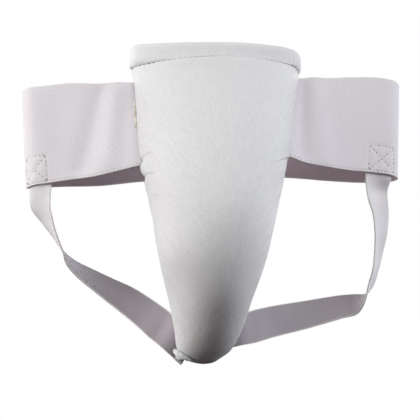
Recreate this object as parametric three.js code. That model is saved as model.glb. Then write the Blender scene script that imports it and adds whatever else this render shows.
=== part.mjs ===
// A groin guard: a padded vinyl cup hung from a wide elastic waistband, with two elastic leg straps.
// The origin is the centre of the waistband loop, +X the viewer's right, +Y to the back, +Z up.
import * as THREE from "three";
import { ParametricGeometry } from "three/addons/geometries/ParametricGeometry.js";
import { mergeVertices } from "three/addons/utils/BufferGeometryUtils.js";

// Driving dimensions, mm.
const SEAM_GAP = 0.3; // clearance between sewn pieces
const CURVED_SEAM_GAP = 0.6; // the same where one faceted curve lies on another
const COVER_WALL = 6; // padded vinyl wall of the cup
const ROLL_THICK = 11; // front to back
const ROLL_HEIGHT = { left: 18.6, middle: 11.2, right: 14.8 };
const HEM_TAPER = 0.15; // how far the hem's tips run on, in steps between its stations
const BAND_THICK = 2;
const BAND_TUCK = 9; // how far each end of the waistband lies behind the cup's rear rim
const STRAP_WIDTH = 25;
const STRAP_THICK = 1.6;
const STRAP_SEWN_FROM = 0.69; // share of the waistband's height above the strap's top end
const LEFT_STRAP_AT = 91; // along the waistband from its left end to the middle of the strap
const RIGHT_STRAP_AT = 89; // the same from its right end

// Level sections of the cup from its top edge to its tip. lean is the middle's x, half the half width at
// the rear edge, rear the rear edge's y, bulge how far the front stands ahead of it, arch how far the
// section's ends drop below its middle, tilt how far its right end rises and its left end drops.
const COVER_SECTIONS = [
  { z: 55.8, lean: 4.5, half: 65, rear: -2, bulge: 28, arch: 5.3, tilt: 2 },
  { z: 42, lean: 4, half: 63.5, rear: -8, bulge: 38, arch: 4, tilt: 1.4 },
  { z: 16, lean: 2.2, half: 60.5, rear: -17, bulge: 47, arch: 1, tilt: 0.5 },
  { z: -12, lean: 0.2, half: 57.5, rear: -26, bulge: 53, arch: 0, tilt: 0 },
  { z: -40, lean: -1.5, half: 52.5, rear: -33, bulge: 55.5, arch: 0, tilt: 0 },
  { z: -70, lean: -2, half: 45.7, rear: -36, bulge: 57, arch: 0, tilt: 0 },
  { z: -100, lean: -3.2, half: 40.2, rear: -33, bulge: 54, arch: 0, tilt: 0 },
  { z: -128, lean: -2.7, half: 31.3, rear: -21, bulge: 50, arch: 0, tilt: 0 },
  { z: -150, lean: -2.6, half: 25.4, rear: -8, bulge: 41, arch: 0, tilt: 0 },
  { z: -164, lean: -4.2, half: 20.8, rear: -1, bulge: 29, arch: 0, tilt: 0 },
  { z: -171.5, lean: -5.6, half: 13, rear: 2, bulge: 17, arch: 0, tilt: 0 },
  { z: -174.3, lean: -4.4, half: 6.6, rear: 3.5, bulge: 8, arch: 0, tilt: 0 },
  { z: -175.2, lean: -4.5, half: 0, rear: 4, bulge: 0, arch: 0, tilt: 0 },
];

// The rounded ends of the top roll: how far each ring lies past the roll's end, and its share of full size.
const ROLL_END_RINGS = [
  { reach: 1.6, share: 0.86 },
  { reach: 2.7, share: 0.5 },
  { reach: 3, share: 0 },
];

// Stations of the folded hem at the cup's lower left: where its upper edge lies, down the cup's length and
// round its section, and the hem's height and thickness there.
const HEM_STATIONS = [
  { down: 0.745, round: 0, tall: 8.4, thick: 2.4 },
  { down: 0.76, round: 0.09, tall: 7.2, thick: 3.2 },
  { down: 0.783, round: 0.16, tall: 4.8, thick: 3 },
  { down: 0.807, round: 0.217, tall: 3.8, thick: 2.4 },
  { down: 0.833, round: 0.268, tall: 2, thick: 1.4 },
];

// Heights at which the waistband's two ends meet the cup.
const BAND_ENDS = {
  left: { top: 38, low: -30 },
  right: { top: 46, low: -21 },
};

// The waistband's upper and lower edges from the cup's left side round the back to its right side.
const BAND_ROWS = [
  { top: [-74, -9, 37], low: [-69, -26, -33] },
  { top: [-89, -9, 36], low: [-87, -20, -37] },
  { top: [-108, -7, 36], low: [-106, -13, -39] },
  { top: [-127, -4, 34], low: [-122, -7, -41] },
  { top: [-138, -1, 33], low: [-133, -2, -42] },
  { top: [-143, 8, 32], low: [-138.5, 8, -43] },
  { top: [-137, 19, 33], low: [-132, 19, -41] },
  { top: [-114, 32, 36], low: [-111, 32, -37.5] },
  { top: [-82, 46, 40], low: [-81, 46, -34] },
  { top: [-46, 57, 46], low: [-46, 57, -28] },
  { top: [14, 64, 53], low: [14, 64, -22] },
  { top: [71, 58, 53], low: [70, 58, -22] },
  { top: [106, 46, 50], low: [105, 46, -26] },
  { top: [132, 32, 47], low: [130, 32, -29] },
  { top: [149, 19, 46], low: [146, 19, -30] },
  { top: [152.5, 8, 46], low: [150, 8, -29.5] },
  { top: [145, -1, 48], low: [143, -1, -28] },
  { top: [133, -4, 49], low: [128, -6, -27] },
  { top: [113, -7, 48], low: [108, -12, -27] },
  { top: [93, -9, 46], low: [89, -19, -26] },
  { top: [79, -9, 46], low: [70, -25, -24] },
];

// The leg straps' front and back edges below the waistband, down to the ends behind the cup's tip.
const LEFT_STRAP_ROWS = [
  { front: [-122, -5, -58], back: [-134.5, 14, -57] },
  { front: [-119.5, -3, -68], back: [-127, 20, -67] },
  { front: [-116, 0, -79], back: [-117, 25, -79] },
  { front: [-111, 5, -91], back: [-110, 30, -88] },
  { front: [-108, 11, -100], back: [-100, 35, -95] },
  { front: [-100, 18, -109], back: [-86, 39, -101] },
  { front: [-86, 23, -120], back: [-70, 40, -108] },
  { front: [-70, 24, -133], back: [-54, 36, -115] },
  { front: [-55, 18, -146], back: [-40, 25, -125] },
  { front: [-44, 9, -156], back: [-31, 6, -135] },
  { front: [-34, 3.5, -166], back: [-23, -8, -144] },
  { front: [-21, 7, -176], back: [-8, -2.5, -156] },
];
const RIGHT_STRAP_ROWS = [
  { front: [123.5, -6, -48], back: [142.5, 10, -45] },
  { front: [127.5, -3, -60], back: [143.5, 17, -57] },
  { front: [129.5, 0, -74], back: [142.5, 22, -71] },
  { front: [130, 4, -88], back: [140.5, 28, -85] },
  { front: [129.5, 8, -101], back: [138.5, 32, -99] },
  { front: [127, 13, -113], back: [136, 37, -111] },
  { front: [125, 18, -126], back: [132, 42, -117] },
  { front: [121, 27, -135], back: [125, 46, -117] },
  { front: [110, 32, -138], back: [113, 48, -118] },
  { front: [83, 35, -146], back: [83, 46, -123] },
  { front: [57, 29, -153], back: [54, 35, -128] },
  { front: [38, 15, -158], back: [34, 12, -134] },
  { front: [23, 2, -162], back: [19, -11, -139] },
  { front: [2, 4, -167], back: [-2, -9, -145] },
];

// Facets.
const COVER_ROWS = 26;
const COVER_ROUND = 22;
const ROLL_ALONG = 26;
const ROLL_ROUND = 10;
const HEM_ROUND = 8;
const BAND_PER_ROW = 4;
const BAND_ACROSS = 5;
const STRAP_PER_ROW = 3;
const STRAP_ACROSS = 6;
const SEWN_ROWS = 3; // rows of each strap that lie on the waistband
const MERGE_WITHIN = 1e-3;
const PROBE = 0.004; // step along a surface for finding its directions
const HALVINGS = 40; // for finding a height on the cup's rear edge

const place = (xyz) => new THREE.Vector3(...xyz);
const steps = (n) => Array.from({ length: n + 1 }, (_, i) => i / n);
const near = (list, i) => list[Math.min(Math.max(i, 0), list.length - 1)];
const evenCurve = (points) => new THREE.CatmullRomCurve3(points, false, "catmullrom", 0.5);
const ribbonCurve = (points) => new THREE.CatmullRomCurve3(points, false, "centripetal");

// A closed surface through rings of equal length, each ring running once round the solid.
function loft(rings) {
  const around = rings[0].length;
  const along = rings.length - 1;
  const pick = (u, v, target) => {
    target.copy(rings[Math.round(v * along)][Math.round(u * around) % around]);
  };
  const grid = new ParametricGeometry(pick, around, along);
  grid.deleteAttribute("normal");
  grid.deleteAttribute("uv");
  const surface = mergeVertices(grid, MERGE_WITHIN);
  const position = surface.getAttribute("position");
  const corner = (i) => new THREE.Vector3().fromBufferAttribute(position, i);
  const faces = [];
  let volume = 0;
  for (let i = 0; i < surface.index.count; i += 3) {
    const face = [0, 1, 2].map((k) => surface.index.getX(i + k));
    if (new Set(face).size < 3) continue;
    faces.push(face);
    const [a, b, c] = face.map(corner);
    volume += a.dot(b.cross(c));
  }
  if (volume < 0) faces.forEach((face) => face.reverse());
  surface.setIndex(faces.flat());
  surface.computeVertexNormals();
  return surface;
}

// Rings of a wall between two lines of points, closed at the ends that are asked for.
function wallRings(outer, inner, closeFirst, closeLast) {
  const ring = (a, b) => [...a, ...b.slice().reverse()];
  const middle = (i) => {
    const line = outer[i].map((p, j) => p.clone().lerp(inner[i][j], 0.5));
    return ring(line, line);
  };
  const rings = outer.map((line, i) => ring(line, inner[i]));
  if (closeFirst) rings.unshift(middle(0));
  if (closeLast) rings.push(middle(outer.length - 1));
  return rings;
}

// Rings of a padded roll through stations, each with a centre, an outward and an upward half size.
function rollRings(stations, count) {
  return stations.map(({ centre, out, up }) => steps(count).slice(0, -1).map((share) => {
    const turn = 2 * Math.PI * share;
    return centre.clone().addScaledVector(out, Math.cos(turn)).addScaledVector(up, Math.sin(turn));
  }));
}

// A slab of even thickness about a grid of places, closed on every side.
function slab(grid, thick) {
  const offset = (amount) => grid.map((line, i) => line.map((p, j) => {
    const along = near(grid, i + 1)[j].clone().sub(near(grid, i - 1)[j]);
    const across = near(line, j + 1).clone().sub(near(line, j - 1));
    return p.clone().addScaledVector(along.cross(across).normalize(), amount);
  }));
  return loft(wallRings(offset(thick / 2), offset(-thick / 2), true, true));
}

// A grid of places along a ribbon, from the control points of each line that runs its length.
function ribbonGrid(lines, perRow) {
  const curves = lines.map(ribbonCurve);
  const along = perRow * (lines[0].length - 1);
  return steps(along).map((t) => curves.map((curve) => curve.getPoint(t)));
}

const coverPlace = evenCurve(COVER_SECTIONS.map((s) => place([s.lean, s.rear, s.z])));
const coverSize = evenCurve(COVER_SECTIONS.map((s) => place([s.half, s.bulge, 0])));
const coverEnds = evenCurve(COVER_SECTIONS.map((s) => place([s.arch, s.tilt, 0])));
const COVER_TOP = COVER_SECTIONS[0].z;
const COVER_HEIGHT = COVER_TOP - COVER_SECTIONS.at(-1).z;

// A place on the cup: down its length and round its section, both from 0 to 1, inset from the outer face.
function coverPoint(down, round, inset) {
  const middle = coverPlace.getPoint(down);
  const size = coverSize.getPoint(down);
  const { x: arch, y: tilt } = coverEnds.getPoint(down);
  const turn = Math.PI * round;
  const side = Math.cos(turn);
  const half = Math.max(size.x - inset, 0);
  const bulge = Math.max(size.y - inset, 0);
  const level = COVER_TOP + (middle.z - COVER_TOP) * (1 - inset / COVER_HEIGHT);
  const rear = inset > 0 ? coverPlace.getPoint(coverDownAt(level - arch, 0)).y : middle.y;
  return place([middle.x - half * side, rear - bulge * Math.sin(turn), level - arch * side ** 2 - tilt * side]);
}

// The share of the cup's length at which its rear edge passes a height; side is 1 on the left, -1 on the
// right, and 0 for the mean of the two.
function coverDownAt(z, side) {
  let [low, high] = [0, 1];
  for (let i = 0; i < HALVINGS; i += 1) {
    const middle = (low + high) / 2;
    const { x: arch, y: tilt } = coverEnds.getPoint(middle);
    if (coverPlace.getPoint(middle).z - arch - tilt * side > z) low = middle;
    else high = middle;
  }
  return low;
}

function cupCover() {
  const face = (inset) => steps(COVER_ROWS).map((down) =>
    steps(COVER_ROUND).map((round) => coverPoint(down, round, inset)));
  return loft(wallRings(face(0), face(COVER_WALL), true, false));
}

// The padded roll that closes the cup's top edge, taller towards its two ends.
function topRoll() {
  const stations = steps(ROLL_ALONG).map((round) => {
    const rim = coverPoint(0, round, COVER_WALL / 2);
    const out = coverPoint(0, round, 0).sub(coverPoint(0, round, COVER_WALL)).setZ(0).normalize();
    const end = round < 0.5 ? ROLL_HEIGHT.left : ROLL_HEIGHT.right;
    const half = THREE.MathUtils.lerp(ROLL_HEIGHT.middle, end, Math.cos(Math.PI * round) ** 2) / 2;
    return {
      centre: rim.add(place([0, 0, SEAM_GAP + half])),
      out: out.multiplyScalar(ROLL_THICK / 2),
      up: place([0, 0, half]),
    };
  });
  const rounded = (station) => ROLL_END_RINGS.map(({ reach, share }) => ({
    centre: station.centre.clone().add(place([0, reach, 0])),
    out: station.out.clone().multiplyScalar(share),
    up: station.up.clone().multiplyScalar(share),
  }));
  const first = rounded(stations[0]).reverse();
  const last = rounded(stations.at(-1));
  return loft(rollRings([...first, ...stations, ...last], ROLL_ROUND));
}

// The folded edge of the cover that hangs from the lower left of the cup's tip.
function hemFold() {
  const stations = HEM_STATIONS.map(({ down, round, tall, thick }) => {
    const lengthwise = coverPoint(down + PROBE, round, 0).sub(coverPoint(down - PROBE, round, 0));
    const crosswise = coverPoint(down, round + PROBE, 0).sub(coverPoint(down, round - PROBE, 0));
    const out = lengthwise.cross(crosswise).setZ(0).normalize();
    const skin = coverPoint(down, round, 0);
    return {
      centre: skin.addScaledVector(out, thick / 4 + CURVED_SEAM_GAP).sub(place([0, 0, tall / 2])),
      out: out.multiplyScalar(thick / 2),
      up: place([0, 0, tall / 2]),
    };
  });
  const tip = (from, to) => ({
    centre: from.centre.clone().lerp(to.centre, -HEM_TAPER),
    out: place([0, 0, 0]),
    up: place([0, 0, 0]),
  });
  const first = tip(stations[0], stations[1]);
  const last = tip(stations.at(-1), stations.at(-2));
  return loft(rollRings([first, ...stations, last], HEM_ROUND));
}

// The waistband's control points at one share of its height, from the left end to the right end.
function bandLine(across) {
  const tucked = (side, sign, inset) => {
    const { top, low } = BAND_ENDS[side];
    const down = coverDownAt(THREE.MathUtils.lerp(top, low, across), -sign);
    const rim = coverPoint(down, sign < 0 ? 0 : 1, 0);
    return rim.add(place([-sign * inset, SEAM_GAP + BAND_THICK / 2, 0]));
  };
  return [
    tucked("left", -1, BAND_TUCK),
    tucked("left", -1, 0),
    ...BAND_ROWS.map(({ top, low }) => place(top).lerp(place(low), across)),
    tucked("right", 1, 0),
    tucked("right", 1, BAND_TUCK),
  ];
}

const bandCurve = (across) => ribbonCurve(bandLine(across));

// A place on the waistband, lifted off its middle surface; a negative lift is towards the inside.
function bandPoint(t, across, lift) {
  const curve = bandCurve(across);
  const along = curve.getPoint(t + PROBE).sub(curve.getPoint(t - PROBE));
  const down = bandCurve(across + PROBE).getPoint(t).sub(bandCurve(across - PROBE).getPoint(t));
  return curve.getPoint(t).addScaledVector(along.cross(down).normalize(), lift);
}

function waistband() {
  return slab(ribbonGrid(steps(BAND_ACROSS).map(bandLine), BAND_PER_ROW), BAND_THICK);
}

// A leg strap: its top end lies inside the waistband, and the rest follows its rows; side is -1 left, 1 right.
function legStrap(rows, side) {
  const sewnLine = bandCurve((1 + STRAP_SEWN_FROM) / 2);
  const middle = side < 0 ? LEFT_STRAP_AT : sewnLine.getLength() - RIGHT_STRAP_AT;
  const lift = -(BAND_THICK + STRAP_THICK) / 2 - CURVED_SEAM_GAP;
  const lines = steps(STRAP_ACROSS).map((share) => {
    const sideways = (share - 0.5) * STRAP_WIDTH;
    const t = sewnLine.getUtoTmapping(0, middle - side * sideways);
    const sewn = steps(SEWN_ROWS).map((down) =>
      bandPoint(t, THREE.MathUtils.lerp(STRAP_SEWN_FROM, 1, down), lift));
    const free = rows.map(({ front, back }) => {
      const centre = place(front).lerp(place(back), 0.5);
      return centre.addScaledVector(place(back).sub(place(front)).normalize(), sideways);
    });
    return [...sewn, ...free];
  });
  return slab(ribbonGrid(lines, STRAP_PER_ROW), STRAP_THICK);
}

const guard = new THREE.Group();

function add(name, geometry, color, roughness) {
  const mesh = new THREE.Mesh(geometry, new THREE.MeshStandardMaterial({ color, roughness, metalness: 0 }));
  mesh.name = name;
  guard.add(mesh);
}

add("cup_cover", cupCover(), 0xe8e8e6, 0.45);
add("top_roll", topRoll(), 0xecece9, 0.45);
add("hem_fold", hemFold(), 0xdededc, 0.5);
add("waistband", waistband(), 0xd6d3d8, 0.85);
add("leg_strap_left", legStrap(LEFT_STRAP_ROWS, -1), 0xdbd8dc, 0.85);
add("leg_strap_right", legStrap(RIGHT_STRAP_ROWS, 1), 0xdbd8dc, 0.85);

export default guard;
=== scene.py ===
import math
import bmesh
import bpy
import numpy as np
from mathutils import Matrix, Vector, noise


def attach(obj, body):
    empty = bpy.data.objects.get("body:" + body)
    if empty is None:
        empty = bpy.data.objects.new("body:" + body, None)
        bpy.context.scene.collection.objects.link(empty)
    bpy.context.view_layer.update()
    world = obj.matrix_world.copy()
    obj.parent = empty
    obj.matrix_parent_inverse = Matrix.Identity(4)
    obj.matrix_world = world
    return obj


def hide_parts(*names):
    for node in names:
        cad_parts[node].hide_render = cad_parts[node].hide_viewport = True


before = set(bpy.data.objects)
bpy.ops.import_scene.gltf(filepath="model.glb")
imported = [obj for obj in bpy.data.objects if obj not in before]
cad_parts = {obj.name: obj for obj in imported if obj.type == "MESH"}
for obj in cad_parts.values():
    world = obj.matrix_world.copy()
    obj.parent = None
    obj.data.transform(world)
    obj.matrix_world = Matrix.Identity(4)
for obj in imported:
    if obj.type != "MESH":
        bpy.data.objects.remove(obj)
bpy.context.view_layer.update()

# Lengths are in millimetres, and MM turns them into Blender's metres.
MM = 0.001
TINY = 1e-9

# Level sections of the cup from its top edge to its tip: level, middle's x, half width, rear edge's y,
# bulge of the front, drop of the section's ends, and rise of its right end over its left.
COVER_SECTIONS = np.array([
    (55.8, 4.5, 65, -2, 28, 5.3, 2),
    (42, 4, 63.5, -8, 38, 4, 1.4),
    (16, 2.2, 60.5, -17, 47, 1, 0.5),
    (-12, 0.2, 57.5, -26, 53, 0, 0),
    (-40, -1.5, 52.5, -33, 55.5, 0, 0),
    (-70, -2, 45.7, -36, 57, 0, 0),
    (-100, -3.2, 40.2, -33, 54, 0, 0),
    (-128, -2.7, 31.3, -21, 50, 0, 0),
    (-150, -2.6, 25.4, -8, 41, 0, 0),
    (-164, -4.2, 20.8, -1, 29, 0, 0),
    (-171.5, -5.6, 13, 2, 17, 0, 0),
    (-174.3, -4.4, 6.6, 3.5, 8, 0, 0),
    (-175.2, -4.5, 0, 4, 0, 0, 0),
])
LEVEL, REAR, ARCH, TILT = 0, 3, 5, 6  # columns for the height, rear edge, drop and rise
COVER_TOP = 55.8
COVER_HEIGHT = 231
COVER_WALL = 6
COVER_NOSE = 0.3  # height of the rounded top edge under the roll
COVER_NOSE_FULL = 4
# The grid's rows lie closer at the top edge and at the creases: shares of rows, shares of length.
COVER_ROW_SHARES = ((0, 0.04, 0.28, 0.68, 1), (0, 0.014, 0.255, 0.42, 1))
# Spans are shares of the section in from a rear edge; tip shares, of the cup's length above its tip.
COVER_RIM_ROUND = 1.6  # rounding of the wall's rear edges
COVER_RIM_SPAN = 0.02
COVER_RIM_TIP = 0.1
COVER_ROUND_FLAT = 150  # vinyl's width round the section, for the grain's scale
COVER_SWELL = 0.3  # soft unevenness of the padding
COVER_SWELL_SIZE = 34
COVER_SWELL_SPAN = 0.08
COVER_SEED = 3
COVER_TIP_FADE = (0.02, 0.12)  # where all relief begins
COVER_GRID = (300, 290)
# Shares of the grid's columns between which its outer face, right edge, inner face and left edge lie.
COVER_RING_SHARES = (0, 0.74, 0.775, 0.965, 1)

# The top edge's corners: the left one stands up, the right one rises and then curls down to the back.
# Spans are shares of the edge's length from its left end.
LEFT_CORNER_RISE = 1.5
LEFT_CORNER_SPAN = (0.02, 0.22)
RIGHT_CORNER_RISE = 0.3
RIGHT_CORNER_AT = 0.8
RIGHT_CORNER_SPAN = 0.06
RIGHT_CORNER_CURL = 3.8
RIGHT_CURL_SPAN = (0.87, 1.02)
CORNER_DEPTH = 14  # how far down the cover follows its corners

ROLL_THICK = 11
ROLL_HEIGHTS = (18.2, 10.8, 14.2)  # at its left end, middle and right end
ROLL_END_REACH = 3
ROLL_GAP = 0.06
ROLL_END_SHARE = 0.04  # share of the roll's columns in each rounded end
ROLL_FULL = 3.2  # of the crown: above 2 the section is fuller than an ellipse
ROLL_LEFT_FULL = 3.6
ROLL_FOOT_FULL = 40  # square on the cover along the seam's middle
ROLL_END_FOOT_FULL = 2.4
# Away from its ends the roll's foot is drawn in, the roll lies back, and its outer foot hangs as a lip.
ROLL_FLUSH = 0.3
ROLL_SET_BACK = 0.6
ROLL_LIP = 0.4
ROLL_LEFT_LEAN = 1.6  # of the left end, out at its foot and in at its top
ROLL_LEFT_SAG = 3.4  # of its outer foot, past the seam
ROLL_LEFT_SPAN = (0.02, 0.16)  # shares of the seam over which the left end's form fades out
# Shares of the seam's length from its middle over which the middle's form gives way to the ends'.
ROLL_TO_LEFT = (0.16, 0.46)
ROLL_TO_RIGHT = (0.3, 0.46)
ROLL_LIP_CORNER = (0.9, 0.98)  # shares of the section's half sizes between which the lip grows
ROLL_LOW_FADE = 1.6  # how fast the foot's own form fades up the section
ROLL_LUMPS = 0.3
ROLL_LUMP_SIZE = 9
ROLL_LUMP_ROUND = 8  # radius at which they are drawn round the section
ROLL_SEED = 5
ROLL_GRID = (300, 96)
SEAM_PITCH = 4.15
PUCKER_MID = 0.5
PUCKER_LEFT = 0.9
PUCKER_RIGHT = 2.2
PUCKER_FALL = (5, 2)  # how soon the gathers fade up the roll, in its middle and at its ends
PUCKER_SHARP = 2.5  # above 1 each gather is narrower than the swell between two
PUCKER_LIFT = 0.5  # how far a gather lifts the roll's foot, as a share of its depth
COVER_PUCKER = 0.5  # depth of the cover's gathers as a share of the roll's
COVER_PUCKER_SHARP = 2
COVER_PUCKER_DROP = 2  # how far below the seam they are deepest
COVER_PUCKER_FADE = 5
# Shares of the seam's length from its middle between which the gathers grow to each corner's own.
GATHER_LEFT = (0.28, 0.44)
GATHER_RIGHT = (0.28, 0.42)
GATHER_FALL = (0.26, 0.38)

# Creases of the cover in the front view: x and z where each starts at the rim, x and z where it dies
# out, depth, and width of the steep side.
CREASES = (
    (57, -22.9, 35, -34.5, 0.9, 0.45),
    (53, -28, 38, -37, 0.25, 0.8),
    (52, -33, 35, -47, 0.3, 0.8),
    (51, -39, 33, -54, 0.25, 0.8),
    (48, -48, 33, -61, 0.25, 0.8),
    (46, -54, 30, -70, 0.2, 0.9),
    (-56, -26, -48, -24, 0.5, 0.8),
    (-54, -39, -46, -42, 0.5, 0.8),
    (-51, -58, -40, -57, 0.25, 0.9),
)
CREASE_EASE = 6  # below its steep side a crease eases out over this many times its width
CREASE_BOW = 0.5  # how far its middle bows up
CREASE_START = (-4, 1)  # distances from its start between which it grows
CREASE_FADE = 0.5  # share of its length past which it dies out

# The left rim's bulge of cover below the waistband and its hollow further down: level, height, reach.
RIM_BUMP = ((-26.5, 1.6, -1.0), (-33, 4.2, 1.3), (-39.5, 1.6, -1.0), (-100, 15, -1.3))
RIM_BUMP_SPAN = 0.05

# Stations of the folded hem's upper edge: down the cup's length, round its section, height, thickness.
HEM_STATIONS = np.array([
    (0.747, 0.022, 8.2, 2.6),
    (0.76, 0.09, 7.2, 3.2),
    (0.783, 0.16, 4.8, 3),
    (0.807, 0.217, 3.8, 2.4),
    (0.833, 0.268, 2, 1.4),
])
HEM_END = 0.09  # share of the hem's length in each rounded end
HEM_GAP = 1.1
HEM_LENGTH = 24
HEM_TALL = 8
HEM_TUBE = 0.7  # radius of the rolled upper edge, as a share of the station's thickness
HEM_STRIP = 0.18  # the same for half the thickness of the strip below it
HEM_LEAN = 0.3  # of the strip, in under the rolled edge, for its height
HEM_TWIST_PITCH = 5
HEM_TWIST_DEPTH = 0.12
HEM_GRID = (80, 44)

EDGE_SEGMENTS = 2
EDGE_ANGLE = math.radians(50)
MERGE_DISTANCE = 0.02

BAND_WIDTH = 75
BAND_THICK = 2
BAND_EDGE = 0.55
BAND_TUCK = 9
BAND_GAP = 0.3
BAND_ENDS = {-1: (38, -30), 1: (46, -20)}  # heights at which each side's end meets the cup

# The waistband's upper edge and lower edge, from the cup's left side round the back to its right side.
BAND_ROWS = np.array([
    ((-74, -9, 37), (-69, -26, -33)),
    ((-89, -9, 36), (-87, -20, -37)),
    ((-108, -7, 36), (-106, -13, -39)),
    ((-127, -4, 34), (-122, -7, -41)),
    ((-138, -1, 33), (-133, -2, -42)),
    ((-143, 8, 32), (-138.5, 8, -43)),
    ((-137, 19, 33), (-132, 19, -41)),
    ((-114, 32, 36), (-111, 32, -37.5)),
    ((-82, 46, 40), (-81, 46, -34)),
    ((-46, 57, 46), (-46, 57, -28)),
    ((14, 64, 53), (14, 64, -22)),
    ((71, 58, 53), (70, 58, -22)),
    ((106, 46, 50), (105, 46, -26)),
    ((132, 32, 47), (130, 32, -29)),
    ((149, 19, 46), (146, 19, -30)),
    ((152.5, 8, 46), (150, 8, -29.5)),
    ((145, -1, 48), (143, -1, -28)),
    ((133, -4, 49), (128, -6, -27)),
    ((113, -7, 48), (108, -12, -27)),
    ((93, -9, 46), (89, -19, -26)),
    ((79, -9, 46), (70, -25, -24)),
])

# Soft folds of the waistband: distance from its left end, or from its right end where negative, lean
# over the band's height, half width and height.
BAND_FOLDS = (
    (28, 10, 8, 2.4),
    (43, 20, 9, -2.4),
    (82, 0, 9, 1.1),
    (-17, -5, 6, -1.7),
    (-29, -10, 9, 1.2),
)
BAND_FOLD_FADE = 0.14  # share of the band's height over which they die out at its edges
BAND_END_CLEAR = 7  # how far from the sewn ends the folds grow
BAND_GRID = (60, 500)

# The waistband's raw cut edge where it shows beside the cup: distances from the band's left end, shares
# of its height, lift and thickness, and how far it frays along and off the band.
RAW_EDGE_ALONG = (8.9, 10.7)
RAW_EDGE_ACROSS = (0.26, 0.56)
RAW_EDGE_LIFT = 0.22
RAW_EDGE_THICK = 0.3
RAW_EDGE_ROUND = 0.25
RAW_EDGE_FRAY = (0.7, 0.3)
RAW_EDGE_FRAY_SIZE = 1.4
RAW_EDGE_SEED = 7
RAW_EDGE_GRID = (6, 40)

STRAP_WIDTH = 25
STRAP_THICK = 1.3
STRAP_EDGE = 0.45
STRAP_SEWN_FROM = 0.69  # share of the waistband's height at a strap's top end
STRAP_SEWN_ROWS = 4
STRAP_LIFT = -2.4  # from the waistband's middle surface to the strap's, on the inside
STRAP_AT = {-1: 91, 1: -89}  # distance of each side's strap from the waistband's end there

# The leg straps' front and back edges below the waistband, down to the ends behind the cup's tip.
LEFT_STRAP_ROWS = np.array([
    ((-122, -5, -58), (-134.5, 14, -57)),
    ((-119.5, -3, -68), (-127, 20, -67)),
    ((-116, 0, -79), (-117, 25, -79)),
    ((-111, 5, -91), (-110, 30, -88)),
    ((-108, 11, -100), (-100, 35, -95)),
    ((-100, 18, -109), (-86, 39, -101)),
    ((-86, 23, -120), (-70, 40, -108)),
    ((-70, 24, -133), (-54, 36, -115)),
    ((-55, 18, -146), (-40, 25, -125)),
    ((-44, 9, -156), (-31, 6, -135)),
    ((-34, 3.5, -166), (-23, -8, -144)),
    ((-21, 7, -176), (-8, -2.5, -156)),
])
RIGHT_STRAP_ROWS = np.array([
    ((123.5, -6, -48), (142.5, 10, -45)),
    ((127.5, -3, -60), (143.5, 17, -57)),
    ((129.5, 0, -74), (142.5, 22, -71)),
    ((130, 4, -88), (140.5, 28, -85)),
    ((129.5, 8, -101), (138.5, 32, -99)),
    ((127, 13, -113), (136, 37, -111)),
    ((125, 18, -126), (132, 42, -117)),
    ((121, 27, -135), (125, 46, -117)),
    ((110, 32, -138), (113, 48, -118)),
    ((83, 35, -146), (83, 46, -123)),
    ((57, 29, -153), (54, 35, -128)),
    ((38, 15, -158), (34, 12, -134)),
    ((23, 2, -162), (19, -11, -139)),
    ((2, 4, -167), (-2, -9, -145)),
])
STRAP_ROWS = {-1: LEFT_STRAP_ROWS, 1: RIGHT_STRAP_ROWS}
STRAP_GRID = (20, 300)

# The straps' sewn boxes: distances of the two sides from the waistband's left end, or from its right
# end where negative, and shares of its height at the top and foot.
STRAP_BOXES = {-1: (78.9, 97.2), 1: (-73.9, -95.2)}
STRAP_BOX_HEIGHTS = (0.715, 0.978)
SEWN_DEPTH = 0.4
SEWN_WIDTH = 1.3

# Soft bends of the straps: distance from the strap's top end, or from its lower end where negative,
# share of its width at the bend's middle, half length, half width as a share, and height outwards.
STRAP_BENDS = {
    -1: ((33, 0.6, 8, 0.5, 0.4), (-33, 0.4, 9, 0.8, 2.2)),
    1: ((36, 0.65, 8, 0.5, -3), (75, 1.2, 36, 0.6, 2.9)),
}

# The left strap's turned-up lower corner behind the tip: its distances back from the strap's end, its
# share of the strap's width, its lift and its thickness.
CORNER_ALONG = (9.5, 0.6)
CORNER_ACROSS = 0.13
CORNER_LIFT = 2.6
CORNER_THICK = 0.4
CORNER_EDGE = 0.15
CORNER_GRID = (8, 14)

THREAD_RADIUS = 0.36
STITCH_LONG = 1.9
STITCH_PITCH = 3.4
STITCH_UNEVEN = 0.45  # of the stitches' sizes
STITCH_UNEVEN_SIZE = 2.3
STITCH_SEED = 9
STITCH_SIDES = 8
STITCH_RINGS = 6
SEAM_STITCH_LONG = 1.7
SEAM_STITCH_RADIUS = 0.42
SEAM_STITCH_SPAN = (0.02, 0.98)  # shares of the top seam's length
RIM_STITCH_FROM = {-1: -36, 1: -28}  # heights at which each side's row starts and both end
RIM_STITCH_TO = -124
# Rows of stitches over the sheets' ends: distances from the end and shares of the sheet's width.
BAND_END_ROWS = (3, 6.5)
BAND_END_ACROSS = (0.04, 0.96)
STRAP_END_ROWS = (3, 8)
STRAP_END_ACROSS = (0.12, 0.88)
SEAM_STEPS = 600  # places on the line of a long seam, a rim, a sheet's end and a side of a sewn box
RIM_STEPS = 200
END_STEPS = 60
BOX_STEPS = 30

# The elastic, with distances from its edge where its selvedge fades and its line of dots begins and
# ends. Scales are of noise, in lumps a metre, and tones are levels between which a mark grows.
CORD_PITCH = 1.2
RIB_PITCH = 1.6
DOT_PITCH = 2.3
DOT_LINE = ((1.0, 1.4), (2.6, 2.2))
SELVEDGE = (1.2, 0.3)
DOT_TONES = (0.5, 0.8)
FUZZ_SCALE = 1100.0
MOTTLE_SCALE = (620.0, 900.0, 1.0)
MOTTLE_TONES = (0.38, 0.6)
CLOUD_SCALE = 30.0
DOT_GREY = (0.36, 0.34, 0.37, 1)
SELVEDGE_CREAM = (0.90, 0.87, 0.82, 1)

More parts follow.
